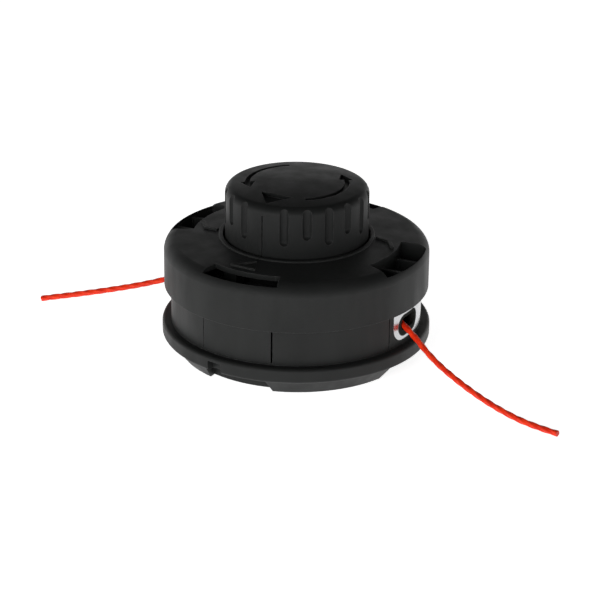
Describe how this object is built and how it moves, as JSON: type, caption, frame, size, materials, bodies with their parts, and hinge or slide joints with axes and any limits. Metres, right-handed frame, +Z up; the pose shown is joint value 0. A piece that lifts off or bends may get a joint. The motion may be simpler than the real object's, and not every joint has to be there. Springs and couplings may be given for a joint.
{
  "type": "trimmer line head",
  "caption": "Round bump-feed head for a string trimmer: flanged base, latched cover, fluted feed knob and metal eyelets with line tails.",
  "frame": {"origin": "on the axis of rotation, in the plane of the feet, drive side down", "axes": "+Z up along the axis towards the knob, +X towards one eyelet, +Y towards one cover latch"},
  "size_m": [0.2943, 0.1318, 0.0866],
  "materials": {
    "black_plastic": "fine moulded grain, satin",
    "knob_plastic": "moulded, slightly smoother",
    "spool_plastic": "smooth moulded nylon",
    "eyelet_metal": "polished",
    "steel": "zinc plated",
    "line": "twisted nylon monofilament"
  },
  "bodies": {
    "housing": {"housing": "black_plastic", "cover": "black_plastic", "eyelet_right": "eyelet_metal", "eyelet_left": "eyelet_metal", "arbor_nut": "steel", "spring": "steel", "line_tail_right": "line", "line_tail_left": "line"},
    "spring_seat": {"spring_washer": "steel"},
    "spool": {"spool": "spool_plastic", "knob": "knob_plastic", "wound_line_lower": "line", "wound_line_upper": "line"}
  },
  "joints": [
    {"name": "knob_press", "type": "slide", "parent": "housing", "child": "spring_seat", "axis": [0, 0, -1], "range_m": [0, 0.007], "stiffness_N_per_m": 2500, "springref_m": -0.008, "deforming": ["spring"]},
    {"name": "spool_turn", "type": "hinge", "parent": "spring_seat", "child": "spool", "pos_m": [0, 0, 0.044], "axis": [0, 0, 1], "continuous": true}
  ]
}
